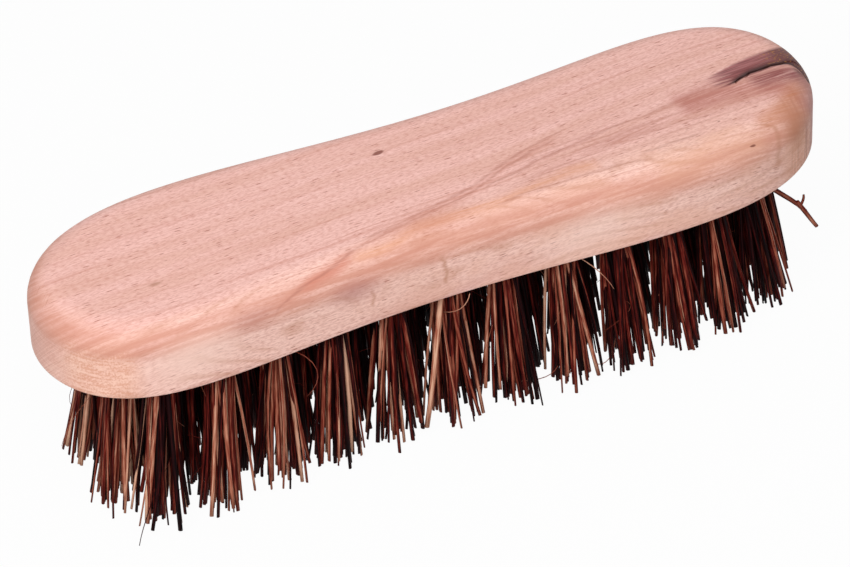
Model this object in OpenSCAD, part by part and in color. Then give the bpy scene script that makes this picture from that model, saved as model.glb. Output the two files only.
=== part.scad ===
// Scrubbing brush: a rounded S-form beech block that is set with tufts of coarse plant fibre.
// Each tuft is folded over an anchor wire at the bottom of a blind hole in the block.
// Lengths are in millimetres. +X runs along the block, +Y across it and +Z is up.
// The origin is under the middle of the block, at the level of the trimmed fibre tips.

/* [Block] */
// Length of the wooden block
block_l = 220; // [180:1:270]
// Thickness of the wooden block
block_t = 20; // [16.5:0.5:26]
// Half of the block's width at its middle
mid_half_w = 27.6; // [22:0.1:34]
// How far the two ends swell beyond a plain ellipse
end_swell = 14.6; // [8:0.1:18]
// How far the outline leans into its S, with 0 for a plain waist
s_lean = 2.1; // [0:0.1:3]
// Radius of the rounded edge round the flat top
top_round = 8; // [3:0.5:9.5]

/* [Tuft holes] */
// Diameter of a tuft hole
hole_d = 6; // [4.5:0.1:7]
// Depth of a tuft hole along its own axis
hole_depth = 12; // [9:0.5:14]
// Distance from the block's edge to the middle of the outer holes
edge_inset = 8; // [6.5:0.5:10]
// Distance from the block's end to the middle of the last hole of an inner row
end_inset = 10; // [8:0.5:13]
// Distance from the block's middle at which the holes of a row start to close up
close_from = 15; // [10:1:50]
// How far the last tuft of an outer row is drawn back at the full end of the S
end_close = 8; // [0:0.5:12]
// Share of that by which the same row turns in towards the middle
row_turn = 0.4; // [0:0.05:0.6]
// Lean of the holes at the two ends, in degrees from upright
end_splay = 8; // [0:1:18]
// Lean of the holes in the outer rows, in degrees from upright
side_splay = 5; // [0:1:14]

/* [Tufts] */
// Height from the trimmed fibre tips to the underside of the block
trim_h = 42; // [30:1:55]
// Width of a tuft at its trimmed tips
tip_d = 11.5; // [8:0.5:13]
// Clearance between a tuft's root and the wall of its hole
root_clear = 0.15; // [0.1:0.05:0.3]
// Length below the hole's mouth over which the fibres stay together
neck_l = 2; // [1.5:0.5:6]

/* [Anchor wires] */
// Diameter of the anchor wire
wire_d = 1; // [0.8:0.1:1.4]
// Distance that each end of the wire bites into the wood
wire_bite = 0.9; // [0.5:0.1:1.5]
// Height of the wire above the bottom of its hole
wire_lift = 1.6; // [1.2:0.1:2.5]
// Clearance between the wire and what it passes through
wire_clear = 0.05; // [0.02:0.01:0.1]

/* [Hidden] */
// Tufts in each row, from the -Y row to the +Y row
ROW_TUFTS = [12, 13, 12, 13, 12];
// Place of each row between the outermost hole lines, from -1 to 1
ROW_PLACE = [-1, -0.5, 0, 0.5, 1];
// Pitches by which the first hole of each row stands back from the last place at its end
ROW_BACK = [0.65, 0.15, 0.75, 0.15, 0.65];
// The middle row is one node of separate tufts. Every other tuft is a node of its own
JOINED_ROW = 2;
last_x = block_l / 2 - end_inset;
pitch = 2 * last_x / (ROW_TUFTS[1] - 0.5);
block_top = trim_h + block_t;
root_d = hole_d - 2 * root_clear;
outline_n = 120;
round_steps = 8;
$fn = 32;

function two_digits(i) = str(i < 10 ? "0" : "", i);
joined_name = str("row", JOINED_ROW + 1, "_tufts");
function tuft_node(row, i) =
    row == JOINED_ROW ? joined_name : str("row", row + 1, "_tuft_", two_digits(i + 1));
TUFTS = [for (row = [0:len(ROW_TUFTS) - 1]) for (i = [0:ROW_TUFTS[row] - 1]) [row, i]];

// The block's outline at angle a, turned half round onto itself
function outline(a) = [
    block_l / 2 * cos(a),
    sin(a) * (mid_half_w + 2 * end_swell * pow(cos(a), 2) - 2 * s_lean * abs(sin(a)) * sin(2 * a))
];

// The outline moved inwards by d, square to the edge
function inset_outline(a, d) =
    let (run = outline(a + 0.5) - outline(a - 0.5))
    outline(a) - d * [run[1], -run[0]] / norm(run);

function ring(d) = [for (k = [0:outline_n - 1]) inset_outline(360 * k / outline_n, d)];

// Distance from the X axis to the outer hole line at x, on the +Y side or the -Y side
function hole_line(x, side) =
    let (a = side * acos(x / (block_l / 2)))
    let (run = outline(a + 0.5) - outline(a - 0.5))
    abs(outline(a)[1]) - edge_inset * norm(run) / abs(run[0]);

// The side of the block that a row is measured from. The middle row goes with the -Y side
function row_side(row) = ROW_PLACE[row] > 0 ? 1 : -1;

// Even spacing along a row. The +Y rows are the -Y rows turned half round
function even_x(row, i) = -row_side(row) * (last_x - (ROW_BACK[row] + i) * pitch);

// How far a hole is drawn back, which is most where its row runs round the full end of the S
function drawn_back(row, x) =
    let (share = (1 - ROW_PLACE[row] * sign(x)) / 2)
    let (past = max(0, abs(x) - close_from) / (last_x - pitch / 2 - close_from))
    end_close * share * past * past;

function hole_xy(row, i) =
    let (even = even_x(row, i))
    let (back = drawn_back(row, even))
    let (x = even - sign(even) * back)
    [x, ROW_PLACE[row] * (hole_line(x, row_side(row)) - row_turn * back)];

// Puts what is drawn along Z on a hole's axis, with the hole's mouth at z = 0 and its bottom above
module on_hole_axis(row, i) {
    mouth = hole_xy(row, i);
    lean_x = end_splay * mouth[0] / (block_l / 2);
    lean_y = side_splay * ROW_PLACE[row];
    translate([mouth[0], mouth[1], trim_h])
        rotate([lean_y, -lean_x, 0])
            children();
}

// The block's rounded upper part, as rings that step in towards the flat top
module rounded_top() {
    rings = [
        for (s = [0:round_steps])
            let (a = 90 * s / round_steps)
            let (z = block_top - top_round * (1 - sin(a)))
            [for (p = ring(top_round * (1 - cos(a)))) [p[0], p[1], z]]
    ];
    points = concat(
        [for (r = rings) each r],
        [[0, 0, block_top - top_round], [0, 0, block_top]]
    );
    low = len(points) - 2;
    high = len(points) - 1;
    last = round_steps * outline_n;
    sides = [
        for (s = [0:round_steps - 1])
            for (k = [0:outline_n - 1])
                let (next = (k + 1) % outline_n)
                let (base = s * outline_n)
                let (above = base + outline_n)
                each [[base + k, above + k, above + next], [base + k, above + next, base + next]]
    ];
    floor_fan = [for (k = [0:outline_n - 1]) [low, k, (k + 1) % outline_n]];
    top_fan = [for (k = [0:outline_n - 1]) [high, last + (k + 1) % outline_n, last + k]];
    polyhedron(points, concat(sides, floor_fan, top_fan));
}

module anchor_wire(clear) {
    translate([0, 0, hole_depth - wire_lift])
        rotate([0, 90, 0])
            cylinder(h = hole_d + 2 * wire_bite, d = wire_d + 2 * clear, center = true);
}

module tuft_hole() {
    translate([0, 0, -hole_d])
        cylinder(h = hole_depth + hole_d, d = hole_d);
    anchor_wire(wire_clear);
}

module block() {
    color("burlywood")
        difference() {
            union() {
                translate([0, 0, trim_h])
                    linear_extrude(block_t - top_round)
                        polygon(ring(0));
                rounded_top();
            }
            for (t = TUFTS)
                on_hole_axis(t[0], t[1]) tuft_hole();
        }
}

// One tuft: a straight root in the hole, then a slow flare down to the trimmed tips
module tuft(row, i) {
    flare_l = 1.2 * trim_h;
    flare_d = root_d + (tip_d - root_d) * (flare_l + neck_l) / trim_h;
    color("saddlebrown")
        difference() {
            intersection() {
                on_hole_axis(row, i) {
                    translate([0, 0, -neck_l])
                        cylinder(h = neck_l + hole_depth - root_clear, d = root_d);
                    translate([0, 0, -neck_l - flare_l])
                        cylinder(h = flare_l, d1 = flare_d, d2 = root_d);
                }
                translate([-block_l, -block_l, 0])
                    cube([2 * block_l, 2 * block_l, block_top]);
            }
            on_hole_axis(row, i) anchor_wire(wire_clear);
        }
}

module anchor_wires() {
    color("silver")
        for (t = TUFTS)
            on_hole_axis(t[0], t[1]) anchor_wire(0);
}

block();
anchor_wires();
for (t = TUFTS)
    tuft(t[0], t[1]);
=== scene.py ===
import math
import random

import bmesh
import bpy
from mathutils import Matrix, Vector
from mathutils.geometry import interpolate_bezier


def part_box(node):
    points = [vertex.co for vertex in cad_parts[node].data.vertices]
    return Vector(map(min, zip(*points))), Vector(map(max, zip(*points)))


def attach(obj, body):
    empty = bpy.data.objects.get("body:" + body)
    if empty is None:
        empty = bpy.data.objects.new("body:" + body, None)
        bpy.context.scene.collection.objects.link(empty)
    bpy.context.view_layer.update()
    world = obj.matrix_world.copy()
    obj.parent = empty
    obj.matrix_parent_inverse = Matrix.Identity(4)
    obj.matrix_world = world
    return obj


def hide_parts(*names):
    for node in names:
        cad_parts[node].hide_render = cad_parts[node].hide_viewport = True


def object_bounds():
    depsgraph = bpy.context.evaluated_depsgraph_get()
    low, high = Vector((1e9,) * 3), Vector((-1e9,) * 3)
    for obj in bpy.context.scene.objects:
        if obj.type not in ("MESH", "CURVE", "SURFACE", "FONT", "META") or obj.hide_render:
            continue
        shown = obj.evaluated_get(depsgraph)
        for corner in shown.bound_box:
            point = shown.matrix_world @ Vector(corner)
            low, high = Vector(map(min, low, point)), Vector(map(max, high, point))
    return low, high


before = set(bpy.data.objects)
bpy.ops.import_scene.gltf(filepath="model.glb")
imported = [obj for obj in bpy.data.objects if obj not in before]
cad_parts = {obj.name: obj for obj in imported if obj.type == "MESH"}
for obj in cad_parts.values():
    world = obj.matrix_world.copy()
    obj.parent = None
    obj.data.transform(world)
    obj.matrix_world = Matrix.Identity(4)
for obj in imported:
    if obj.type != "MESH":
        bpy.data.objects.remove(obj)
cad_low, cad_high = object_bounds()

# The beech block: its rounded body.
# One solid piece of beech, sawn to a shallow S-form and rounded over along its top edge on a spindle
# moulder. It carries every tuft in a blind hole that is bored from below.
MM = 0.001
block_low, block_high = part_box("block")
HALF_LENGTH = block_high.x
MID_HALF_WIDTH = 27.6 * MM
END_SWELL = 14.6 * MM
S_LEAN = 2.1 * MM
TOP_ROUND = 8 * MM
BOTTOM_ROUND = 0.4 * MM
ROUND_STEPS = 9
SIDE_STEPS = 11
BOTTOM_STEPS = 3
CELLS_ALONG = 190
CELLS_ACROSS = 92
# How far to each side of a place the outline is read for its direction, in radians
EDGE_STEP = 0.005


def outline(angle, inset=0):
    """The block's edge at an angle round it, moved inwards square to itself by inset."""
    places = []
    for a in (angle - EDGE_STEP, angle + EDGE_STEP, angle):
        lean = abs(math.sin(a)) * math.sin(2 * a)
        half_width = MID_HALF_WIDTH + 2 * END_SWELL * math.cos(a) ** 2 - 2 * S_LEAN * lean
        places.append(Vector((HALF_LENGTH * math.cos(a), math.sin(a) * half_width, 0)))
    before, after, here = places
    run = (after - before).normalized()
    return here - inset * Vector((run.y, -run.x, 0))


def deselect_all():
    """Leaves every object unselected, so that the next operator acts on the new one alone."""
    if bpy.context.object and bpy.context.object.mode != "OBJECT":
        bpy.ops.object.mode_set(mode="OBJECT")
    bpy.ops.object.select_all(action="DESELECT")


def extrude_rim(piece, inset, height):
    """Extrudes the selected rim of the block and puts it at an inset and a height."""
    bpy.ops.mesh.extrude_edges_move()
    bm = bmesh.from_edit_mesh(piece.data)
    angle_of = bm.verts.layers.float["angle"]
    for v in bm.verts:
        if v.select:
            v.co = outline(v[angle_of], inset)
            v.co.z = height
    bmesh.update_edit_mesh(piece.data)


deselect_all()
bpy.ops.mesh.primitive_grid_add(x_subdivisions=CELLS_ALONG, y_subdivisions=CELLS_ACROSS, size=2)
block = bpy.context.object
block.name = "beech_block"
angles = block.data.attributes.new("angle", "FLOAT", "POINT")
# The square grid is pressed into a disc, and the disc is stretched to the flat part of the top
for v in block.data.vertices:
    disc = Vector((v.co.x * math.sqrt(1 - v.co.y**2 / 2), v.co.y * math.sqrt(1 - v.co.x**2 / 2)))
    angle = math.atan2(disc.y, disc.x)
    angles.data[v.index].value = angle
    v.co = outline(angle, TOP_ROUND) * disc.length
    v.co.z = block_high.z
bpy.ops.object.mode_set(mode="EDIT")
bpy.ops.mesh.select_mode(type="EDGE")
bpy.ops.mesh.select_all(action="DESELECT")
bpy.ops.mesh.select_non_manifold()
for step in range(1, ROUND_STEPS + 1):
    bend = math.pi / 2 * step / ROUND_STEPS
    lowered = TOP_ROUND * (1 - math.cos(bend))
    extrude_rim(block, TOP_ROUND * (1 - math.sin(bend)), block_high.z - lowered)
side_top = block_high.z - TOP_ROUND
side_bottom = block_low.z + BOTTOM_ROUND
for step in range(1, SIDE_STEPS + 1):
    extrude_rim(block, 0, side_top + (side_bottom - side_top) * step / SIDE_STEPS)
for step in range(1, BOTTOM_STEPS + 1):
    bend = math.pi / 2 * step / BOTTOM_STEPS
    extrude_rim(block, BOTTOM_ROUND * (1 - math.cos(bend)), side_bottom - BOTTOM_ROUND * math.sin(bend))
bpy.ops.mesh.edge_face_add()
bpy.ops.mesh.select_all(action="SELECT")
bpy.ops.mesh.normals_make_consistent(inside=False)
bpy.ops.object.mode_set(mode="OBJECT")

# The tuft holes.
# Blind holes, bored from below with a 6 mm drill and leaning outwards as their tufts do. Each one
# follows its tuft's root in the CAD model, and the fibres hide all but the rim of it.
HOLE_DIAMETER = 6 * MM
HOLE_SIDES = 28
ROOT_END_GAP = 0.15 * MM
DRILL_OVERRUN = 6 * MM
# A root's flat end is found by its faces: how far they point up, and how near the node's top they lie
ROOT_END_UPRIGHT = 0.9
ROOT_END_BAND = 1.5 * MM
tuft_nodes = sorted(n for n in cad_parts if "_tuft" in n)


def holes_of(node):
    """For each tuft in a node, the middle of its flat root end and the way its hole points."""
    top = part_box(node)[1].z
    root_ends = []
    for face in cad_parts[node].data.polygons:
        if face.normal.z < ROOT_END_UPRIGHT or face.center.z < top - ROOT_END_BAND:
            continue
        near = [faces for faces in root_ends if (faces[0].center - face.center).length < HOLE_DIAMETER]
        if near:
            near[0].append(face)
        else:
            root_ends.append([face])
    found = []
    for faces in root_ends:
        area = sum(f.area for f in faces)
        middle = sum((f.center * f.area for f in faces), Vector()) / area
        found.append((middle, sum((f.normal * f.area for f in faces), Vector()).normalized()))
    return sorted(found, key=lambda hole: hole[0].x)


deselect_all()
drills = []
for root_end, up in [hole for name in tuft_nodes for hole in holes_of(name)]:
    depth = (root_end.z - block_low.z) / up.z + ROOT_END_GAP + DRILL_OVERRUN
    bpy.ops.mesh.primitive_cylinder_add(
        vertices=HOLE_SIDES,
        radius=HOLE_DIAMETER / 2,
        depth=depth,
        location=root_end + up * (ROOT_END_GAP - depth / 2),
        rotation=up.to_track_quat("Z", "Y").to_euler(),
    )
    drills.append(bpy.context.object)
for drill in drills:
    drill.select_set(True)
bpy.context.view_layer.objects.active = drills[0]
bpy.ops.object.join()
all_drills = bpy.context.object


def cut_from_block(cutter):
    """Takes a cutter's shape out of the block, and removes the cutter."""
    deselect_all()
    block.select_set(True)
    bpy.context.view_layer.objects.active = block
    cut = block.modifiers.new("cut", "BOOLEAN")
    cut.operation = "DIFFERENCE"
    cut.solver = "EXACT"
    cut.object = cutter
    bpy.ops.object.modifier_apply(modifier=cut.name)
    bpy.data.objects.remove(cutter)


cut_from_block(all_drills)
block.data.attributes.remove(block.data.attributes["angle"])

# The crack in the top face.
# A narrow split beside the bark pocket at the right end, about a millimetre deep, that runs along the
# grain and out over the rounded edge. Its places are in millimetres, the last ones with their drop.
CRACK_WIDTH = 0.9 * MM
CRACK_DEPTH = 1.3 * MM
CRACK_ON_TOP = (
    (86.5, -7.6),
    (88.7, -6.4),
    (90.5, -6.5),
    (92.2, -5.5),
    (95.3, -5.9),
    (98.4, -5.4),
    (101.1, -6.1),
)
CRACK_OVER_EDGE = ((103.5, -5.8, -0.3), (105.6, -5.6, -1.3), (107, -6.9, -2.4))
SMOOTH_BELOW = math.radians(32)
crack_route = [Vector((x * MM, y * MM, block_high.z)) for x, y in CRACK_ON_TOP]
crack_route += [Vector((x * MM, y * MM, block_high.z + z * MM)) for x, y, z in CRACK_OVER_EDGE]
# A diamond that stands half above the top face is drawn along the route and cut out of the block
deselect_all()
bpy.ops.mesh.primitive_circle_add(
    vertices=4,
    radius=CRACK_WIDTH / 2,
    fill_type="NGON",
    location=crack_route[0],
)
splitter = bpy.context.object
bpy.ops.transform.rotate(value=math.pi / 2, orient_axis="Y", center_override=crack_route[0])
bpy.ops.transform.resize(value=(1, 1, 2 * CRACK_DEPTH / CRACK_WIDTH))
bpy.ops.object.transform_apply()
bpy.ops.object.mode_set(mode="EDIT")
bpy.ops.mesh.select_mode(type="FACE")
bpy.ops.mesh.select_all(action="SELECT")
for start, end in zip(crack_route, crack_route[1:]):
    bpy.ops.mesh.extrude_region_move(TRANSFORM_OT_translate={"value": end - start})
bpy.ops.mesh.select_all(action="SELECT")
bpy.ops.mesh.normals_make_consistent(inside=False)
bpy.ops.object.mode_set(mode="OBJECT")
cut_from_block(splitter)
bpy.ops.object.shade_smooth_by_angle(angle=SMOOTH_BELOW)
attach(block, "root")
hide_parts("block")


# The wood of the block.
# Steamed beech, planed and sanded and left bare: pink on the broad face and warmer down the sides,
# with faint growth lines, short dark ray flecks along the grain and a bark pocket at one end.
def linear(code):
    """An sRGB hex colour as the linear colour that a shader takes."""
    parts = [int(code[i : i + 2], 16) / 255 for i in (1, 3, 5)]
    return [c / 12.92 if c <= 0.04045 else ((c + 0.055) / 1.055) ** 2.4 for c in parts] + [1]


def set_inputs(owner, node, inputs):
    """Gives a node's inputs their links, hex colours or plain values."""
    for key, value in inputs.items():
        if isinstance(value, bpy.types.Node):
            value = value.outputs[0]
        if isinstance(value, bpy.types.NodeSocket):
            owner.node_tree.links.new(value, node.inputs[key])
        else:
            node.inputs[key].default_value = linear(value) if isinstance(value, str) else value


def add_node(owner, kind, inputs=None, **settings):
    """Adds one node to a material or the world, with its settings and what its inputs get."""
    node = owner.node_tree.nodes.new("ShaderNode" + kind)
    for name, value in settings.items():
        setattr(node, name, value)
    set_inputs(owner, node, inputs or {})
    return node


def new_material(name):
    """A material with its shader ready to be set."""
    material = bpy.data.materials.new(name)
    material.use_nodes = True
    return material, material.node_tree.nodes["Principled BSDF"]


def soft_mask(owner, *edges):
    """The product of soft edges, each a value, where it begins, where it is full, and its levels.

    The levels are 0 and 1 where none are given. A finished mask or a plain strength can stand among
    the edges."""
    product = None
    for edge in edges:
        if isinstance(edge, tuple):
            value, begins, full, low, high = (*edge, 0, 1)[:5]
            edge = add_node(
                owner,
                "MapRange",
                {0: value, 1: begins, 2: full, 3: low, 4: high},
                interpolation_type="SMOOTHSTEP",
            )
        if product is not None:
            edge = add_node(owner, "Math", {0: product, 1: edge}, operation="MULTIPLY")
        product = edge
    return product


def stain(owner, tint, colour, *edges):
    """A tint with a colour laid over it, inside the soft mask that the edges make."""
    mask = soft_mask(owner, *edges)
    return add_node(owner, "Mix", {0: mask, 6: tint, 7: colour}, data_type="RGBA").outputs[2]


def streaks(owner, vector, scale, detail=3, seed=0, shows=None):
    """Noise drawn out by scale, as blotches per millimetre, and cut to the levels where it shows."""
    drawn = add_node(owner, "Mapping", {0: vector, "Location": (seed, seed, seed), "Scale": scale})
    noise = add_node(owner, "TexNoise", {"Vector": drawn, "Scale": 1, "Detail": detail})
    return soft_mask(owner, (noise, *shows)) if shows else noise


# Its colours. The ones in pairs are laid over others, each with how strongly it covers them
PINK_BEECH = "#F4C5BC"
TAN_BEECH = ("#E9B9AC", 1)
WARM_BEECH = ("#FDD3C6", 1)
GROWTH_LINE = ("#CA8C7C", 0.5)
FIBRE_LINE = ("#C48474", 0.3)
SPECKLE = ("#C48474", 0.48)
RAY_FLECK = ("#9E5A4B", 1)
END_GRAIN = "#E0A184"
PALE_END_GRAIN = ("#F9CBB6", 1)
END_GRAIN_STRENGTH = 0.75
GOLDEN_MOTTLE = ("#E6AF97", 0.42)
CONTOUR_LINE = ("#C08467", 0.36)
RIGHT_END_STREAK = ("#A2685C", 0.5)
# Painted shade on the rounded edge
ROUND_EDGE_PAINTED_SHADE = ("#CC8D79", 0.85)

beech, beech_shader = new_material("bare_sanded_beech")
coordinates = add_node(beech, "TexCoord").outputs
in_mm = add_node(beech, "VectorMath", {0: coordinates["Object"], "Scale": 1 / MM}, operation="SCALE")
x_mm, y_mm, z_mm = add_node(beech, "SeparateXYZ", {0: in_mm}).outputs
# The way across the top face and on down the near side, in millimetres from the middle of the top
drop = add_node(beech, "Math", {0: z_mm, 1: block_high.z / MM}, operation="SUBTRACT")
across = add_node(beech, "Math", {0: y_mm, 1: drop}, operation="ADD")
unrolled = add_node(beech, "CombineXYZ", {0: x_mm, 1: across})

# The grain parts round the knot: it lifts above the knot and sinks below it, more so near the knot,
# and it wanders a little everywhere. All of it is in millimetres.
KNOT_X = 92
KNOT_ACROSS = -17
KNOT_REACH = 88
KNOT_HALF_WIDTH = 3
LIFT_ABOVE = 16
DIP_BELOW = 8
LIFT_DIES_OVER = 20
GRAIN_WANDER = 5
# The pattern runs this much more slowly into the wood than across it
DEPTH_SHARE = 0.2
from_knot = add_node(beech, "Math", {0: across, 1: KNOT_ACROSS}, operation="SUBTRACT")
away = add_node(beech, "Math", {0: from_knot}, operation="ABSOLUTE")
faded_away = add_node(beech, "Math", {0: away, 1: -LIFT_DIES_OVER}, operation="DIVIDE")
lift = soft_mask(
    beech,
    (x_mm, KNOT_X - KNOT_REACH, KNOT_X),
    (from_knot, -KNOT_HALF_WIDTH, KNOT_HALF_WIDTH, -DIP_BELOW, LIFT_ABOVE),
    add_node(beech, "Math", {0: faded_away}, operation="EXPONENT"),
)
parted = add_node(beech, "Math", {0: across, 1: lift}, operation="SUBTRACT")
wander = streaks(beech, unrolled, (0.02, 0.06, 0), detail=2, seed=3)
wandering = add_node(beech, "Math", {0: wander, 1: GRAIN_WANDER, 2: parted}, operation="MULTIPLY_ADD")
depth_in = add_node(beech, "Math", {0: y_mm, 1: DEPTH_SHARE}, operation="MULTIPLY")
grain = add_node(beech, "CombineXYZ", {0: x_mm, 1: wandering, 2: depth_in})

# Broad tints, then growth lines a few millimetres apart, then fine fibre streaks and speckle
broad = streaks(beech, grain, (0.008, 0.16, 0.05), shows=(0.38, 0.64))
tint = stain(beech, PINK_BEECH, *TAN_BEECH, broad)
warm = streaks(beech, grain, (0.012, 0.1, 0.05), detail=2, seed=7, shows=(0.3, 0.6))
tint = stain(beech, tint, *WARM_BEECH, (across, -14, -24), warm)
growth_lines = streaks(beech, grain, (0.011, 0.62, 0.1), detail=4, seed=11, shows=(0.56, 0.72))
tint = stain(beech, tint, *GROWTH_LINE, growth_lines)
fibre_lines = streaks(beech, grain, (0.05, 3.2, 0.4), seed=17, shows=(0.35, 0.75))
tint = stain(beech, tint, *FIBRE_LINE, fibre_lines)
speckle = streaks(beech, unrolled, (0.7, 2.2, 0), detail=4, seed=23, shows=(0.4, 0.68))
tint = stain(beech, tint, *SPECKLE, speckle)

# The end faces, where the long grain gives way to end grain
normal_x = add_node(beech, "SeparateXYZ", {0: coordinates["Normal"]})
end_facing = add_node(beech, "Math", {0: normal_x}, operation="ABSOLUTE")
end_grain = soft_mask(
    beech,
    (end_facing, 0.3, 0.5),
    (end_facing, 0.85, 0.97, 1, 0.45),
    (drop, -3, -8, 0.15, 1),
)
long_grain = add_node(beech, "Math", {0: 1, 1: end_grain}, operation="SUBTRACT")

# Ray flecks: dark dashes of 1 to 2.5 mm, about 0.25 mm wide. The pattern is folded at the middle line
# so that it runs down both sides, and shifted there so that the two halves differ. A layer has the
# distances of its flecks along and across, half of the largest fleck as a share of them, and its
# strength.
FLECK_LAYERS = ((6.6, 0.9, 0.21, 0.85), (3.8, 0.6, 0.17, 0.55))
FLECK_SHIFT = 317
FLECK_WANDER = 3
which_side = add_node(beech, "Math", {0: y_mm}, operation="SIGN")
shifted_x = add_node(beech, "Math", {0: which_side, 1: FLECK_SHIFT, 2: x_mm}, operation="MULTIPLY_ADD")
folded_y = add_node(beech, "Math", {0: y_mm}, operation="ABSOLUTE")
folded = add_node(beech, "Math", {0: folded_y, 1: drop}, operation="SUBTRACT")
bent = add_node(beech, "Math", {0: wander, 1: FLECK_WANDER, 2: folded}, operation="MULTIPLY_ADD")
fleck_place = add_node(beech, "CombineXYZ", {0: shifted_x, 1: bent})
flecks = 0
for spacing, row, most, strength in FLECK_LAYERS:
    cells = add_node(beech, "Mapping", {0: fleck_place, "Scale": (1 / spacing, 1 / row, 1)})
    dashes = add_node(beech, "TexVoronoi", {"Vector": cells, "Scale": 1}, voronoi_dimensions="2D")
    chance = add_node(beech, "SeparateColor", {0: dashes.outputs["Color"]}).outputs
    size = soft_mask(beech, (chance[0], 0.35, 1, 0.02, most))
    inside = add_node(beech, "Math", {0: dashes.outputs["Distance"], 1: size}, operation="DIVIDE")
    layer = soft_mask(beech, (inside, 1, 0.4), (chance[1], 0, 1, 0.3, 1), strength)
    flecks = add_node(beech, "Math", {0: flecks, 1: layer}, operation="MAXIMUM")
flecks = soft_mask(beech, flecks, long_grain)
tint = stain(beech, tint, *RAY_FLECK, flecks)

# End grain: warmer, with fine level lines and pores
level_lines = streaks(beech, in_mm, (0.25, 0.1, 1.7), detail=4, seed=5)
pores = streaks(beech, in_mm, (2.2, 2.2, 2.2), detail=2, seed=9)
end_marks = add_node(beech, "Math", {0: level_lines, 1: pores}, operation="ADD")
end_tint = stain(beech, END_GRAIN, *PALE_END_GRAIN, (end_marks, 0.82, 1.15))
tint = stain(beech, tint, end_tint, END_GRAIN_STRENGTH, end_grain)

# Golden mottles down the near side, where the saw met the growth layers at a slant
mottle = streaks(beech, unrolled, (0.07, 0.13, 0), detail=4, seed=53, shows=(0.4, 0.62))
tint = stain(beech, tint, *GOLDEN_MOTTLE, (across, -18, -26), (x_mm, -50, 10), mottle)

# The same layers show there as wavy contour lines, this many over the whole range of the noise
CONTOURS = 13
swirl = streaks(beech, unrolled, (0.016, 0.045, 0), detail=0, seed=71)
layers = add_node(beech, "Math", {0: swirl, 1: CONTOURS}, operation="MULTIPLY")
contour = add_node(beech, "Math", {0: layers, 1: 0.5}, operation="PINGPONG")
patches = streaks(beech, unrolled, (0.06, 0.1, 0), detail=2, seed=73, shows=(0.42, 0.6))
tint = stain(beech, tint, *CONTOUR_LINE, (contour, 0.26, 0.02), (across, -19, -26), patches)

# Darker streaks that run down the near side at the right end
end_streaks = streaks(beech, unrolled, (0.9, 0.07, 0), seed=79, shows=(0.42, 0.62))
tint = stain(beech, tint, *RIGHT_END_STREAK, (x_mm, 88, 98), (across, -14, -22), end_streaks)

# Painted shade that darkens the rounded edge below the flat top, in broken patches
round_edge_shade_patches = streaks(beech, unrolled, (0.05, 0.5, 0), detail=4, seed=59, shows=(0.35, 0.6, 0.45, 1))
tint = stain(beech, tint, *ROUND_EDGE_PAINTED_SHADE, (drop, -0.2, -3), (drop, -10, -6), round_edge_shade_patches)


def line_offset(owner, along, across_it, route):
    """How far a place lies from a line that is drawn through a route of (along, across) places."""
    first, last = route[0][0], route[-1][0]
    low = min(p[1] for p in route)
    high = max(p[1] for p in route)
    share = add_node(owner, "MapRange", {0: along, 1: first, 2: last})
    curve = add_node(owner, "FloatCurve", {"Value": share})
    knots = curve.mapping.curves[0].points
    places = [((p[0] - first) / (last - first), (p[1] - low) / (high - low)) for p in route]
    for place in places[1:-1]:
        knots.new(*place)
    for knot, place in zip(knots, places):
        knot.location = place
    curve.mapping.update()
    height = add_node(owner, "MapRange", {0: curve, 3: low, 4: high})
    return add_node(owner, "Math", {0: across_it, 1: height}, operation="SUBTRACT")


def stroke(owner, along, across_it, route, half_width, ends=5):
    """A soft line through a route, which dies away over a few millimetres at both ends."""
    off = line_offset(owner, along, across_it, route)
    beside = add_node(owner, "Math", {0: off}, operation="ABSOLUTE")
    first, last = route[0][0], route[-1][0]
    inwards = math.copysign(ends, last - first)
    starts = (along, first, first + inwards)
    stops = (along, last, last - inwards)
    return soft_mask(owner, (beside, half_width, 0), starts, stops)


def spot(owner, vector, middle, size, softness):
    """A soft oval mark of a length and width in millimetres."""
    oval = add_node(
        owner,
        "Mapping",
        {0: vector, "Location": (*middle, 0), "Scale": (size[0] / 2, size[1] / 2, 1)},
        vector_type="TEXTURE",
    )
    reach = add_node(owner, "VectorMath", {0: oval}, operation="LENGTH").outputs["Value"]
    return soft_mask(owner, (reach, 1, 1 - softness))


# Growth lines and bands that this block shows, as places along it and across it in millimetres
RED_LINE = (
    (-60, -38),
    (-55.5, -31.3),
    (-50, -28.4),
    (-41, -25),
    (-31, -20.9),
    (-13, -17.6),
    (3, -14.8),
    (20, -8.7),
    (36, -5),
)
RED_START = ((-51, -29), (-46, -27), (-40, -25.4), (-32, -22))
SECOND_RED_LINE = ((-30, -19), (-12, -16), (4, -12.8), (22, -6.5), (40, -2.5))
KNOT_LINE = ((6, -15), (20, -12.7), (33, -10.3), (58, -8.1), (82, -5.7))
ORANGE_BAND = ((-36, -23.5), (-26, -24.2), (-11, -20.8), (8, -21.8), (27, -20), (40, -21.2))
LOW_LINE = ((6, -23), (17, -22.5), (34, -22.9), (43, -23.8), (52, -26))
LOWER_LINE = ((48, -21.4), (58, -22.3), (69, -22))
HAZE = ((66, -9), (76, -9.4), (82, -10), (88, -11.4), (93, -14), (98, -18.5), (102, -22))
LOW_HAZE = ((88, -8.4), (95, -9), (100, -10.2), (104, -12.5), (107, -18))
ORANGE_RIM = ((80, -27.2), (86.3, -26), (91, -24), (95.5, -20.5), (100, -18), (106, -16))
GOLDEN = ((48, -31), (60, -30), (72, -30), (84, -37))
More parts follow.
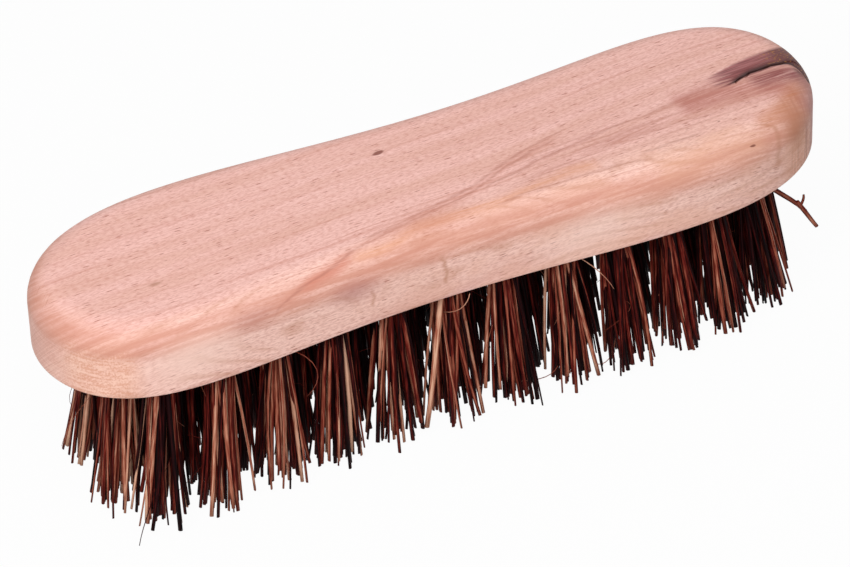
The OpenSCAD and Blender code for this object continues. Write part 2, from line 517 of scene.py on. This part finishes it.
# Each with half its width in millimetres, its colour and its strength, from the lowest up
MARKS_ALONG = (
    (ORANGE_BAND, 3.4, "#DD9C78", 0.6),
    (RED_START, 4, "#C87660", 0.7),
    (RED_LINE, 3, "#CD8A76", 0.35),
    (RED_LINE, 0.9, "#A96A5B", 0.5),
    (SECOND_RED_LINE, 0.9, "#A96A5B", 0.45),
    (KNOT_LINE, 1, "#AE7263", 0.45),
    (LOW_LINE, 1, "#AC6E58", 0.5),
    (LOWER_LINE, 1, "#A8715F", 0.5),
    (HAZE, 9, "#B36D60", 0.82),
    (GOLDEN, 10, "#DFA98C", 0.4),
    (ORANGE_RIM, 6, "#C27E5A", 0.72),
    (LOW_HAZE, 8, "#84403F", 1),
)
# Arcs of the growth rings, which run down the near side: places across the block and then along it
FIRST_ARC = ((-35, -31.6), (-39, -30.6), (-43, -31.4))
SECOND_ARC = ((-32, -11.6), (-37, -10.2), (-43.5, -9.6))
RING_ARC = (
    (-24, 75),
    (-26.4, 81.7),
    (-27.3, 84.2),
    (-29.6, 86.2),
    (-34, 86.6),
    (-39, 86.3),
    (-45, 85.6),
)
MARKS_DOWN = ((FIRST_ARC, 1, 0.5), (SECOND_ARC, 1, 0.55), (RING_ARC, 1.6, 0.45))
ARC_COLOUR = "#BB8064"
ARC_ENDS = 3
# Stains, small knots, and at the right end partly painted shade: middle, length and width in
# millimetres, colour, strength and softness
SPOTS = (
    # The first two darken the right end: partly the wood's own colour, partly painted shade where it
    # faces away from the lamp
    ((94, -30), (16, 30), "#BA7A5C", 0.8, 1),
    ((105, -28), (16, 50), "#B4868A", 0.6, 1),
    ((-80, -38), (40, 20), "#FFDACC", 0.6, 1),
    ((30, -43), (44, 20), "#FFDCCE", 0.45, 1),
    ((-11, -21), (38, 17), "#C67F66", 0.5, 1),
    ((-35.5, -35), (22, 12), "#B47A74", 0.55, 1),
    ((-64.5, -32.5), (22, 10), "#B67E74", 0.45, 1),
    ((-7.9, 12.5), (4, 1.5), "#7A3F33", 0.85, 0.5),
    ((-81.3, -8.4), (5, 2.6), "#AF7D68", 0.7, 0.8),
    ((78.1, -33.4), (2.6, 0.9), "#7B4638", 0.9, 0.5),
    ((74.1, -20.1), (1, 0.7), "#8A5243", 0.8, 0.5),
)
FAN_LINE = ("#BB7F70", 0.55)
# The marks waver by up to half of these, in millimetres, and the lines are broken here and there
SHAKE_ACROSS = 2.4
SHAKE_ALONG = 3
shake = streaks(beech, unrolled, (0.09, 0.3, 0), seed=31)
shake = add_node(beech, "Math", {0: shake, 1: 0.5}, operation="SUBTRACT")
shaken = add_node(beech, "Math", {0: shake, 1: SHAKE_ACROSS, 2: across}, operation="MULTIPLY_ADD")
shaken_x = add_node(beech, "Math", {0: shake, 1: SHAKE_ALONG, 2: x_mm}, operation="MULTIPLY_ADD")
shaken_place = add_node(beech, "CombineXYZ", {0: shaken_x, 1: shaken})
broken = streaks(beech, grain, (0.08, 1.4, 0.2), seed=37, shows=(0.32, 0.6, 0.45, 1))

# A fan of fine lines between the waist and the knot lies under the marks
fan_lines = streaks(beech, unrolled, (0.03, 0.9, 0), seed=41, shows=(0.4, 0.7))
fan_reach = soft_mask(beech, (x_mm, 5, 30), (x_mm, 92, 60), (shaken, -23, -17), (shaken, -4, -10))
tint = stain(beech, tint, *FAN_LINE, fan_reach, fan_lines)
for route, half_width, colour, strength in MARKS_ALONG:
    mark = stroke(beech, x_mm, shaken, route, half_width)
    tint = stain(beech, tint, colour, mark, broken, strength)
for route, half_width, strength in MARKS_DOWN:
    arc = stroke(beech, shaken, shaken_x, route, half_width, ARC_ENDS)
    tint = stain(beech, tint, ARC_COLOUR, arc, strength)
# The way across turns back down the far side, and would bring some of the spots there again
not_far_side = soft_mask(beech, (y_mm, 22, 18))
for middle, size, colour, strength, softness in SPOTS:
    mark = spot(beech, shaken_place, middle, size, softness)
    tint = stain(beech, tint, colour, mark, not_far_side, strength)

# The bark pocket at the right end: purple-brown wood that darkens down to a crack with bark in it
POCKET_TOP = ((77, -3), (83, -1.7), (91, 0.2), (96, 1), (101, 1), (109, 0.6))
CRACK_LINE = (
    (85, -7.6),
    (88.7, -6.5),
    (92, -5.7),
    (98.4, -5.6),
    (101, -6.2),
    (103.2, -7),
    (105, -10),
    (106, -16),
    (108, -17),
)
BARK = "#A56465"
DEEP_BARK = ("#742F31", 1)
BARK_GRAIN = ("#522024", 0.6)
PALE_BARK_GRAIN = ("#BF8886", 0.4)
BARK_AT_END = ("#441012", 0.75)
BARK_BY_CRACK = ("#1E0505", 0.85)
POCKET_STRENGTH = 0.95
BARK_DOWN_END = ("#461214", 0.85)
BARK_CRUMB = ("#A9743C", 0.8)
CRACK_LIP = ("#DDA597", 0.5)
# Near black in the crack: partly bark, partly painted shade in the split
CRACK_BARK_AND_SHADE = ("#2A0C0E", 1)
# The pocket frays into fingers, up to this many millimetres along the block and down its end
FRAY_ALONG = 16
FRAY_DOWN = 9
LIP_BELOW_CRACK = 1.6
above_top = line_offset(beech, x_mm, shaken, POCKET_TOP)
above_crack = line_offset(beech, x_mm, across, CRACK_LINE)
fingers = streaks(beech, unrolled, (0.1, 1.5, 0), seed=61)
frayed_x = add_node(beech, "Math", {0: fingers, 1: FRAY_ALONG, 2: x_mm}, operation="MULTIPLY_ADD")
frayed_drop = add_node(beech, "Math", {0: fingers, 1: FRAY_DOWN, 2: drop}, operation="MULTIPLY_ADD")
pocket = soft_mask(
    beech,
    (above_top, 0.6, -1),
    (above_crack, -0.5, 0.2),
    (frayed_x, 87, 95),
    (frayed_drop, -4.5, 0),
)
bark_grain = streaks(beech, unrolled, (0.11, 2, 0), detail=4, seed=43, shows=(0.42, 0.6))
pale_bark_grain = streaks(beech, unrolled, (0.08, 1.3, 0), seed=67, shows=(0.5, 0.66))
bark = stain(beech, BARK, *DEEP_BARK, (above_crack, 6, 0.5))
bark = stain(beech, bark, *BARK_GRAIN, bark_grain)
bark = stain(beech, bark, *PALE_BARK_GRAIN, pale_bark_grain)
bark = stain(beech, bark, *BARK_AT_END, (x_mm, 98, 103))
bark = stain(beech, bark, *BARK_BY_CRACK, (above_crack, 2, 0.4), (x_mm, 83, 90))
tint = stain(beech, tint, bark, pocket, POCKET_STRENGTH)
down_end = spot(beech, unrolled, middle=(105.8, -9.5), size=(7, 15), softness=0.7)
tint = stain(beech, tint, *BARK_DOWN_END, down_end)
crumbs = streaks(beech, unrolled, (1.1, 1.6, 0), detail=2, seed=47, shows=(0.56, 0.66))
tint = stain(beech, tint, *BARK_CRUMB, crumbs, pocket, (x_mm, 96, 101))
lip_place = add_node(beech, "Math", {0: across, 1: LIP_BELOW_CRACK}, operation="ADD")
lip = stroke(beech, x_mm, lip_place, CRACK_LINE, half_width=1, ends=3)
tint = stain(beech, tint, *CRACK_LIP, lip, (x_mm, 90, 95))
# The crack is painted near black: partly the bark in it, partly painted shade in the split
crack_dark_line = stroke(beech, x_mm, across, CRACK_LINE, half_width=0.9, ends=2)
tint = stain(beech, tint, *CRACK_BARK_AND_SHADE, crack_dark_line)

# The fibre lines and flecks lie a hair lower than the wood round them
DENT_DEPTH = 0.06 * MM
DENT_STRENGTH = 0.3
dents = add_node(beech, "Math", {0: fibre_lines, 1: flecks}, operation="ADD")
beech_bump = add_node(
    beech,
    "Bump",
    {"Strength": DENT_STRENGTH, "Distance": DENT_DEPTH, "Height": dents},
    invert=True,
)
set_inputs(beech, beech_shader, {"Base Color": tint, "Normal": beech_bump})
beech_shader.inputs["Roughness"].default_value = 0.6
beech_shader.inputs["IOR"].default_value = 1.5
beech_shader.inputs["Specular IOR Level"].default_value = 0.3
block.data.materials.append(beech)

# The tufts.
# Coarse palm fibre, cut to length and folded over a wire at the bottom of each hole, then trimmed
# level. The fibres are stiff, flattened, about a millimetre wide and dark brown, and a few are tan.
FIBRES = 50
FIBRE_SIDES = 6
FIBRE_WIDTH = (0.85 * MM, 1.7 * MM)
FLATNESS = (0.45, 0.8)
TAPER = 0.25
# Places along a fibre, from its end in the hole to its cut tip
RINGS = (0, 0.2, 0.27, 0.36, 0.5, 0.68, 0.85, 1)
HELD_LENGTH = 10.5 * MM
NECK = 4 * MM
ROOT_SPREAD = 2.3 * MM
NECK_SPREAD = 3.9 * MM
TIP_SPREAD = 7.1 * MM
BEND = 0.45 * MM
BOX_MARGIN = 0.8 * MM
# Radians from one fibre's place round the tuft to the next, and how far root and tip stray from it
GOLDEN_ANGLE = 2.39996
ROOT_STRAY = 0.3
TIP_STRAY = 0.4
# Shares of the tuft's reach by which a tip strays, and the furthest that it gets
REACH_STRAY = 0.2
FURTHEST_TIP = 1.15
# The cut, in millimetres above the plane of the tips: one tuft from the next, the rise to the right
# end, one fibre from the next, and the share of fibres that are shorter and by how much
TUFT_CUT = 1.5
RIGHT_CUT = 2
FIBRE_CUT = 1.7
SHORT_SHARE = 0.12
SHORT_CUT = (1, 7)
LEAST_FALL = 0.001 * MM
# Thin stray hairs: their width, and in millimetres where they start, how far they go and their bow
HAIRS = 2
HAIR_WIDTH = 0.16 * MM
HAIR_START = (0, 25)
HAIR_DRIFT = (5, 3)
HAIR_DROP = (-16, -5)
HAIR_BOW = (3, 2, 2)
HAIR_TONE = (0.3, 0.7)
# How light a fibre is: for each kind, the draw that it ends at, and its darkest and lightest tone
FIBRE_TONES = ((0.4, 0.02, 0.3), (0.92, 0.3, 0.68), (1, 0.68, 0.88))
# What multiplies the tones of a tuft, as painted shade: at the block's middle, how much less at its
# right end, and once more for an inner tuft, which the outer ones shade
MIDDLE_TONE = 1.02
RIGHT_END_PAINTED_SHADE = 0.3
INNER_PAINTED_SHADE = 0.45
OUTER_ROWS = ("row1", "row5")
OUTER_END = 79 * MM
dice = random.Random(20)

deselect_all()
bpy.ops.mesh.primitive_cylinder_add(vertices=FIBRE_SIDES, radius=0.5, depth=1, location=(0, 0, 0.5))
fibre = bpy.context.object
bpy.ops.object.transform_apply()
bpy.ops.object.mode_set(mode="EDIT")
bpy.ops.mesh.select_mode(type="EDGE")
bpy.ops.mesh.select_all(action="DESELECT")
bm = bmesh.from_edit_mesh(fibre.data)
for edge in bm.edges:
    edge.select = abs(edge.verts[0].co.z - edge.verts[1].co.z) > 0.5
bmesh.update_edit_mesh(fibre.data)
bpy.ops.mesh.subdivide(number_cuts=len(RINGS) - 2)
bpy.ops.object.mode_set(mode="OBJECT")
for v in fibre.data.vertices:
    v.co.z = RINGS[round(v.co.z * (len(RINGS) - 1))]
fibre_points = [v.co.copy() for v in fibre.data.vertices]
fibre_faces = [tuple(f.vertices) for f in fibre.data.polygons]
bpy.data.objects.remove(fibre)

# Its material: each fibre has its own tone and streaks along it. Its two edges are darker, partly its
# own colour and partly painted shade, and the faces between them a little lighter, as painted light.
# The colour goes from near black through red-brown to tan. The surface is dull, with hardly any shine.
FIBRE_COLOURS = ((0, "#060001"), (0.26, "#240406"), (0.5, "#661C15"), (0.74, "#A5604A"), (1, "#DDAC90"))
STREAK_CONTRAST = 1.1
# How strongly painted shade darkens the edges and painted light brightens the faces, and how many edges
PAINTED_EDGE_SHADE = 0.13
SHADED_EDGES = 2
# Each fibre gets a whole number below this, which gives it streaks of its own
STRANDS = 99
palm_fibre, fibre_shader = new_material("stiff_palm_fibre")
tone = add_node(palm_fibre, "Attribute", attribute_name="tone").outputs["Fac"]
strand = add_node(palm_fibre, "UVMap", uv_map="strand")
streak = streaks(palm_fibre, strand, (12, 0.16, 1))
streak = add_node(palm_fibre, "Math", {0: streak, 1: 0.5}, operation="SUBTRACT")
streaked = add_node(
    palm_fibre,
    "Math",
    {0: streak, 1: STREAK_CONTRAST, 2: tone},
    operation="MULTIPLY_ADD",
)
# Painted shade at each fibre's edges and painted light on its faces, from the way round it
round_it = add_node(palm_fibre, "SeparateXYZ", {0: strand})
turned = add_node(palm_fibre, "Math", {0: round_it, 1: SHADED_EDGES * math.tau}, operation="MULTIPLY")
edges = add_node(palm_fibre, "Math", {0: turned}, operation="COSINE")
shade = add_node(
    palm_fibre,
    "Math",
    {0: edges, 1: -PAINTED_EDGE_SHADE, 2: streaked},
    operation="MULTIPLY_ADD",
)
fibre_colour = add_node(palm_fibre, "ValToRGB", {0: shade})
colour_stops = fibre_colour.color_ramp.elements
for position, _ in FIBRE_COLOURS[1:-1]:
    colour_stops.new(position)
for stop, (position, colour) in zip(colour_stops, FIBRE_COLOURS):
    stop.position = position
    stop.color = linear(colour)
set_inputs(palm_fibre, fibre_shader, {"Base Color": fibre_colour})
fibre_shader.inputs["Roughness"].default_value = 0.6
fibre_shader.inputs["IOR"].default_value = 1.5
fibre_shader.inputs["Specular IOR Level"].default_value = 0.06


def lay_fibre(bundle, seed, route, width, flatness, twist, tone):
    """Adds one copy of the fibre to a bundle, laid along a route of places."""
    base = len(bundle["points"])
    for p in fibre_points:
        i = RINGS.index(min(RINGS, key=lambda r: abs(r - p.z)))
        here = route[i]
        ahead = (route[min(i + 1, len(route) - 1)] - route[max(i - 1, 0)]).normalized()
        aside = ahead.cross(Vector((math.sin(twist), math.cos(twist), 0))).normalized()
        over = ahead.cross(aside)
        taper = 1 - TAPER * p.z
        bundle["points"].append(here + (aside * p.x + over * p.y * flatness) * width * taper)
        bundle["tone"].append(tone)
        around = math.atan2(p.y, p.x) / math.tau + 0.5
        bundle["uv"].append((around + math.floor(STRANDS * seed), (route[0] - here).length / MM))
    bundle["faces"] += [tuple(base + k for k in f) for f in fibre_faces]


def finish_fibres(name, bundle):
    """Makes one piece of the fibres in a bundle."""
    mesh = bpy.data.meshes.new(name)
    mesh.from_pydata(bundle["points"], [], bundle["faces"])
    mesh.attributes.new("tone", "FLOAT", "POINT").data.foreach_set("value", bundle["tone"])
    strand_map = mesh.uv_layers.new(name="strand")
    for loop in mesh.loops:
        strand_map.data[loop.index].uv = bundle["uv"][loop.vertex_index]
    for face in mesh.polygons:
        face.use_smooth = len(face.vertices) == 4
    mesh.materials.append(palm_fibre)
    piece = bpy.data.objects.new(name, mesh)
    bpy.context.collection.objects.link(piece)
    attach(piece, "root")
    return piece


def fibre_tone():
    """How light a fibre is: most are dark, a few are tan."""
    draw = dice.random()
    for limit, darkest, lightest in FIBRE_TONES:
        if draw < limit:
            return dice.uniform(darkest, lightest)


def fibre_route(mouth, down, root, tip, bow, curl, trim):
    """Where a fibre runs: packed in its hole, out over a short neck, then slightly bent to its cut."""
    free = NECK + (mouth.z - NECK) / -down.z
    target = mouth + down * free + tip * TIP_SPREAD
    neck_end = mouth + down * NECK + root * NECK_SPREAD
    length = HELD_LENGTH + (target - mouth).length
    route = []
    for share in RINGS:
        gone = share * length - HELD_LENGTH
        if gone <= 0:
            here = mouth + down * gone + root * ROOT_SPREAD
        elif gone < NECK:
            swell = math.sin(math.pi / 2 * gone / NECK)
            here = mouth + down * gone + root * (ROOT_SPREAD + (NECK_SPREAD - ROOT_SPREAD) * swell)
        else:
            t = (gone - NECK) / (length - HELD_LENGTH - NECK)
            here = neck_end.lerp(target, t) + bow * math.sin(math.pi * t) + curl * t * t
        route.append(here)
    # The shears cut it a little above the plane of the tips
    last, before = route[-1], route[-2]
    route[-1] = last + (last - before) * ((last.z - trim) / max(LEAST_FALL, before.z - last.z))
    return route


def hair_route(start, end, bow):
    """Where a thin hair runs: a bowed way from start to end."""
    return [start.lerp(end, share) + bow * math.sin(math.pi * share) for share in RINGS]


def inside_box(place):
    """A place brought back to the CAD model's box, or very close to it."""
    low_x, low_y = cad_low.x - BOX_MARGIN, cad_low.y - BOX_MARGIN
    high_x, high_y = cad_high.x + BOX_MARGIN, cad_high.y + BOX_MARGIN
    return Vector((min(max(place.x, low_x), high_x), min(max(place.y, low_y), high_y), max(place.z, 0)))


for name in tuft_nodes:
    bundle = {"points": [], "faces": [], "tone": [], "uv": []}
    for root_end, up in holes_of(name):
        # Painted shade: inner tufts are darker than outer ones, and all grow darker towards the right
        # end
        is_outer = name.startswith(OUTER_ROWS) or abs(root_end.x) > OUTER_END
        tuft_painted_shade = MIDDLE_TONE - RIGHT_END_PAINTED_SHADE * root_end.x / HALF_LENGTH
        tuft_painted_shade *= 1 if is_outer else INNER_PAINTED_SHADE
        down = -up
        mouth = root_end + down * ((root_end.z - block_low.z) / up.z)
        side = down.cross(Vector((0, 1, 0))).normalized()
        other = down.cross(side)
        raised = dice.uniform(0, TUFT_CUT) * MM + RIGHT_CUT * MM * max(0, mouth.x / HALF_LENGTH)
        for k in range(FIBRES):
            angle = k * GOLDEN_ANGLE + dice.uniform(-ROOT_STRAY, ROOT_STRAY)
            reach = math.sqrt((k + 0.5) / FIBRES)
            root = (side * math.cos(angle) + other * math.sin(angle)) * reach
            tip_angle = angle + dice.gauss(0, TIP_STRAY)
            tip_reach = min(FURTHEST_TIP, max(0, reach + dice.gauss(0, REACH_STRAY)))
            tip = (side * math.cos(tip_angle) + other * math.sin(tip_angle)) * tip_reach
            trim = raised + abs(dice.gauss(0, FIBRE_CUT)) * MM
            if dice.random() < SHORT_SHARE:
                trim += dice.uniform(*SHORT_CUT) * MM
            bow = Vector((dice.gauss(0, 1), dice.gauss(0, 1), 0)) * BEND
            curl = Vector((dice.gauss(0, 1), dice.gauss(0, 1), 0)) * BEND
            route = [inside_box(p) for p in fibre_route(mouth, down, root, tip, bow, curl, trim)]
            width = dice.uniform(*FIBRE_WIDTH)
            flatness = dice.uniform(*FLATNESS)
            twist = dice.uniform(0, math.pi)
            seed = dice.random()
            lay_fibre(bundle, seed, route, width, flatness, twist, fibre_tone() * tuft_painted_shade)
        for k in range(HAIRS):
            start = mouth + down * dice.uniform(*HAIR_START) * MM
            start += (side * dice.gauss(0, 1) + other * dice.gauss(0, 1)) * ROOT_SPREAD
            drift = [dice.gauss(0, most) for most in HAIR_DRIFT]
            end = start + Vector((*drift, dice.uniform(*HAIR_DROP))) * MM
            bow = Vector([dice.gauss(0, most) for most in HAIR_BOW]) * MM
            route = [inside_box(p) for p in hair_route(start, end, bow)]
            seed = dice.random()
            lay_fibre(bundle, seed, route, HAIR_WIDTH, 1, 0, dice.uniform(*HAIR_TONE))
    tuft = finish_fibres("fibres_" + name, bundle)
    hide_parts(name)

# The loose fibres.
# A forked fibre that has sprung out at the right end, a broad pale one, and a few thin stray hairs
# that have worked loose from the front tufts. Each is still caught in its hole or its tuft.
STRAY_FLATNESS = 0.6
STRAY_TWIST = 0.4
# Each one's Bezier curve, from its start to its tip, its width and its tone. Lengths in millimetres
STRAYS = (
    ((82.6, -19, 46), (88, -18, 34), (98, -18, 28), (102.2, -18, 21.5), 1.7, 0.5),
    ((99.5, -18, 25.5), (102.2, -18, 21.5), (104, -18, 18), (106, -18, 15), 1.5, 0.55),
    ((100.8, -18, 24), (101.5, -18, 25), (101.8, -18, 26), (101.6, -18, 27), 0.9, 0.5),
    ((-7, -20.5, 45), (-11.8, -25, 36), (-14, -26.5, 18), (-16.9, -26.5, 2.8), 1.9, 0.8),
    ((25.5, -21, 41), (31, -29, 39), (35, -29.5, 33), (37.1, -29.5, 28.3), 0.3, 0.8),
    ((-9, -22, 34), (-7, -29, 37), (-5, -29, 40), (-4, -28, 41.8), 0.3, 0.8),
    ((10, -25, 6), (15, -28.5, 6.5), (19, -28, 5.5), (21.6, -27, 7.7), 0.3, 0.6),
    ((40, -25, 8), (37, -28.5, 4), (34, -29, 4), (32, -28, 5), 0.3, 0.6),
    ((-90, -21.5, 14), (-95, -27, 10), (-99, -29, 6), (-100.5, -30, 1.5), 0.3, 0.2),
    ((-52, -24, 40), (-46.5, -30, 38), (-47, -29, 31), (-50, -26, 26), 0.3, 0.5),
    ((-92.5, -8, 41), (-104, -16, 41), (-113, -22, 42.5), (-115.8, -23, 35), 0.16, 0.6),
)
bundle = {"points": [], "faces": [], "tone": [], "uv": []}
for *controls, width, stray_tone in STRAYS:
    route = interpolate_bezier(*[Vector(c) * MM for c in controls], len(RINGS))
    lay_fibre(bundle, dice.random(), route, width * MM, STRAY_FLATNESS, STRAY_TWIST, stray_tone)
finish_fibres("loose_fibres", bundle)

# The anchor wires.
# Short pieces of galvanised wire across the holes, which hold the folded fibres down. They stay as
# the CAD made them, with the dull spangled grey of zinc.
DARK_ZINC = "#9A9DA0"
PALE_ZINC = "#C3C6C8"
zinc, zinc_shader = new_material("galvanised_wire")
wire_place = add_node(zinc, "TexCoord").outputs["Object"]
wire_in_mm = add_node(zinc, "VectorMath", {0: wire_place, "Scale": 1 / MM}, operation="SCALE")
spangle = streaks(zinc, wire_in_mm, (1.5, 1.5, 1.5), detail=2)
zinc_tint = stain(zinc, DARK_ZINC, PALE_ZINC, spangle)
zinc_roughness = soft_mask(zinc, (spangle, 0.3, 0.7, 0.35, 0.55))
set_inputs(zinc, zinc_shader, {"Base Color": zinc_tint, "Roughness": zinc_roughness})
zinc_shader.inputs["Metallic"].default_value = 1
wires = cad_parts["anchor_wires"]
wires.data.materials.clear()
wires.data.materials.append(zinc)

# The studio.
# A pale floor under a soft lamp and an even sky. The camera sees the floor and the sky as white, and
# on the floor it still sees a pale shadow. Sizes are in metres, and the lamp's power is in watts.
FLOOR_SIZE = 6
FLOOR_GREY = "#B4B4B4"
FLOOR_WHITE = 1.02
SHADOW_SHARE = 0.06
SKY = 0.4
LAMP_SIZE = 0.8
LAMP_POWER = 12.9
LAMP_FROM = Vector((-0.5, -0.6, 0.93))


def sees_white(owner):
    """One for a ray from the camera, mirrored by metal or let through by glass, and else zero."""
    rays = add_node(owner, "LightPath").outputs
    sees = rays["Is Camera Ray"]
    for kind in ("Is Glossy Ray", "Is Transmission Ray"):
        sees = add_node(owner, "Math", {0: sees, 1: rays[kind]}, operation="MAXIMUM")
    return sees


deselect_all()
bpy.ops.mesh.primitive_plane_add(size=FLOOR_SIZE, location=(0, 0, 0))
floor = bpy.context.object
floor.name = "floor"
pale, pale_shader = new_material("pale_floor")
pale_shader.inputs["Base Color"].default_value = linear(FLOOR_GREY)
pale_shader.inputs["Roughness"].default_value = 0.9
white = add_node(pale, "Emission", {"Color": (1, 1, 1, 1), "Strength": FLOOR_WHITE})
whiteness = add_node(pale, "Math", {0: sees_white(pale), 1: 1 - SHADOW_SHARE}, operation="MULTIPLY")
floor_look = add_node(pale, "MixShader", {0: whiteness, 1: pale_shader, 2: white})
set_inputs(pale, pale.node_tree.nodes["Material Output"], {0: floor_look})
floor.data.materials.append(pale)

world = bpy.data.worlds.new("studio_sky")
world.use_nodes = True
bpy.context.scene.world = world
sky_level = add_node(world, "MapRange", {0: sees_white(world), 3: SKY, 4: 1})
set_inputs(world, world.node_tree.nodes["Background"], {"Color": (1, 1, 1, 1), "Strength": sky_level})

lamp_data = bpy.data.lights.new("soft_lamp", "AREA")
lamp_data.shape = "SQUARE"
lamp_data.size = LAMP_SIZE
lamp_data.energy = LAMP_POWER
lamp = bpy.data.objects.new("soft_lamp", lamp_data)
bpy.context.collection.objects.link(lamp)
lamp.location = LAMP_FROM
lamp.rotation_mode = "QUATERNION"
lamp.rotation_quaternion = LAMP_FROM.to_track_quat("Z", "Y")

# The camera.
# A long lens that looks down on the brush from its near left, as the photograph was taken. The
# distances are in metres, and the sensor and the lens in millimetres.
AZIMUTH = math.radians(-27)
ELEVATION = math.radians(37)
ROLL = math.radians(-2.29)
DISTANCE = 1.195
LOOKS_AT = Vector((-11.84 * MM, -18.75 * MM, block_low.z))
SENSOR_WIDTH = 36
LENS = 199.95
NEAREST = 0.05
FURTHEST = 20
back = Vector((
    math.sin(AZIMUTH) * math.cos(ELEVATION),
    -math.cos(AZIMUTH) * math.cos(ELEVATION),
    math.sin(ELEVATION),
))
right = (-back).cross(Vector((0, 0, 1))).normalized()
above_it = back.cross(right)
rolled_right = right * math.cos(ROLL) + above_it * math.sin(ROLL)
rolled_up = above_it * math.cos(ROLL) - right * math.sin(ROLL)
camera_data = bpy.data.cameras.new("camera")
camera_data.sensor_width = SENSOR_WIDTH
camera_data.lens = LENS
camera_data.clip_start = NEAREST
camera_data.clip_end = FURTHEST
camera = bpy.data.objects.new("camera", camera_data)
bpy.context.collection.objects.link(camera)
facing = Matrix((rolled_right, rolled_up, back)).transposed()
camera.matrix_world = Matrix.Translation(LOOKS_AT + back * DISTANCE) @ facing.to_4x4()
bpy.context.scene.camera = camera
bpy.context.scene.view_settings.view_transform = "Standard"
